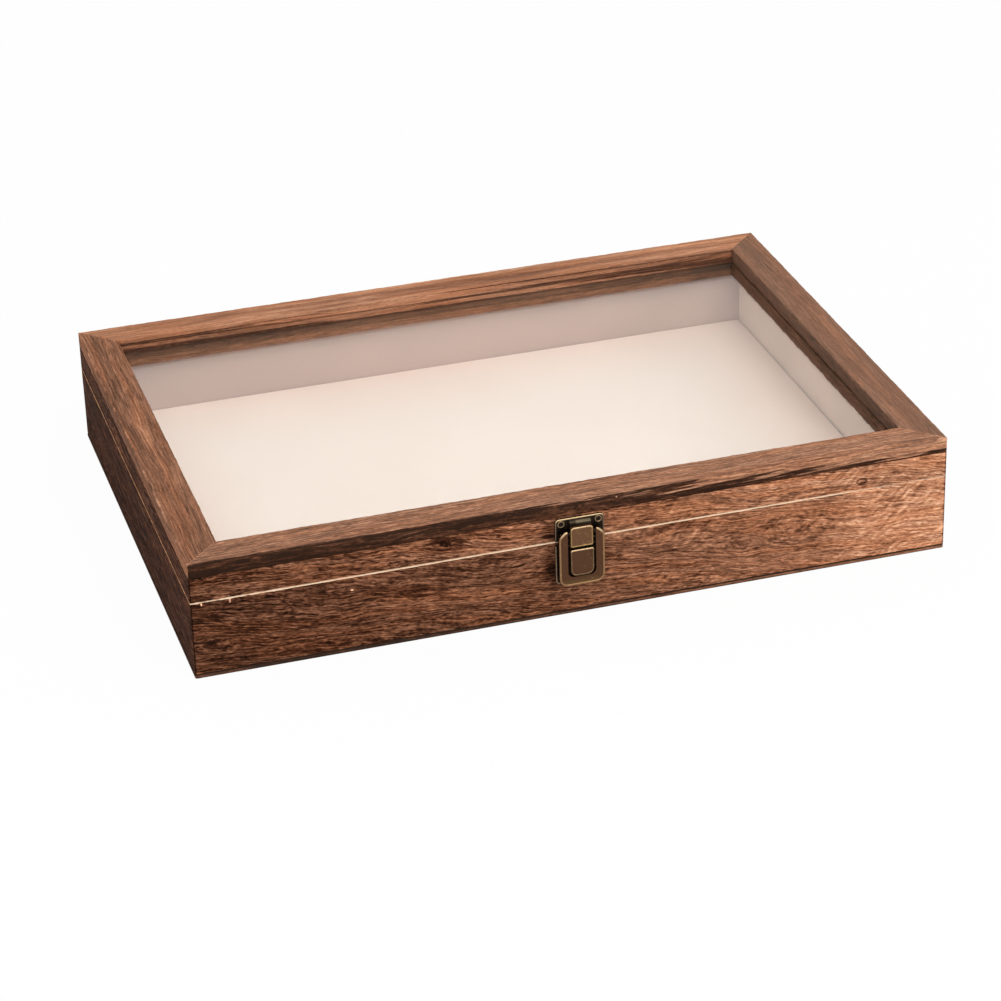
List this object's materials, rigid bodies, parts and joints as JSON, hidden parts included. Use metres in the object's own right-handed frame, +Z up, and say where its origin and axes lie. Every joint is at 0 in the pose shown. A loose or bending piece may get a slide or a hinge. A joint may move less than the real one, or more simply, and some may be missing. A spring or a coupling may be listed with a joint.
{
  "type": "insect display case",
  "caption": "Shallow wooden case with a hinged glazed lid, a lined inside, a pinning pad and a toggle latch.",
  "frame": {"origin": "centre of the flat underside that the case rests on", "axes": "+X along the front to the right, +Y from the front to the back, +Z up"},
  "size_m": [0.31, 0.2282, 0.05],
  "materials": {
    "scorched_wood": "scorched and brushed softwood, satin",
    "board_wood": "thin stained board, satin",
    "bead_wood": "stained softwood bead, matt",
    "lining_paper": "smooth lining paper, matt",
    "pad_foam": "dense foam pad with a fine matt cover",
    "clear_glass": "clear float glass",
    "antique_bronze": "stamped metal with an antique bronze finish, worn bright on its edges"
  },
  "bodies": {
    "base": {"base_front_wall": "scorched_wood", "base_back_wall": "scorched_wood", "base_left_wall": "scorched_wood", "base_right_wall": "scorched_wood", "bottom_board": "board_wood", "lining_front": "lining_paper", "lining_back": "lining_paper", "lining_left": "lining_paper", "lining_right": "lining_paper", "pinning_pad": "pad_foam", "hinge_base_leaf_left": "antique_bronze", "hinge_base_leaf_right": "antique_bronze", "hinge_pin_left": "antique_bronze", "hinge_pin_right": "antique_bronze", "hinge_base_screws": "antique_bronze", "latch_base_plate": "antique_bronze", "latch_base_nails": "antique_bronze", "latch_pivot_pins": "antique_bronze"},
    "lid": {"lid_frame_front": "scorched_wood", "lid_frame_back": "scorched_wood", "lid_frame_left": "scorched_wood", "lid_frame_right": "scorched_wood", "lid_rim_front": "scorched_wood", "lid_rim_back": "scorched_wood", "lid_rim_left": "scorched_wood", "lid_rim_right": "scorched_wood", "glass_pane": "clear_glass", "glass_bead_front": "bead_wood", "glass_bead_back": "bead_wood", "glass_bead_left": "bead_wood", "glass_bead_right": "bead_wood", "hinge_lid_leaf_left": "antique_bronze", "hinge_lid_leaf_right": "antique_bronze", "hinge_lid_screws": "antique_bronze", "latch_keeper": "antique_bronze", "latch_keeper_nails": "antique_bronze"},
    "latch_lever": {"latch_lever": "antique_bronze", "latch_tongue_pin": "antique_bronze"},
    "latch_tongue": {"latch_tongue": "antique_bronze"}
  },
  "joints": [
    {"name": "lid_hinge", "type": "hinge", "parent": "base", "child": "lid", "pos_m": [0, 0.11205, 0.033], "axis": [-1, 0, 0], "range_deg": [0, 180]},
    {"name": "latch_lever_pivot", "type": "hinge", "parent": "base", "child": "latch_lever", "pos_m": [0, -0.113, 0.0371], "axis": [-1, 0, 0], "range_deg": [0, 90]},
    {"name": "latch_tongue_pivot", "type": "hinge", "parent": "latch_lever", "child": "latch_tongue", "pos_m": [0, -0.1127, 0.0319], "axis": [1, 0, 0], "range_deg": [0, 99]}
  ],
  "couplings": [
    {"joint": "latch_tongue_pivot", "follows": "latch_lever_pivot", "ratio": 1.1}
  ]
}
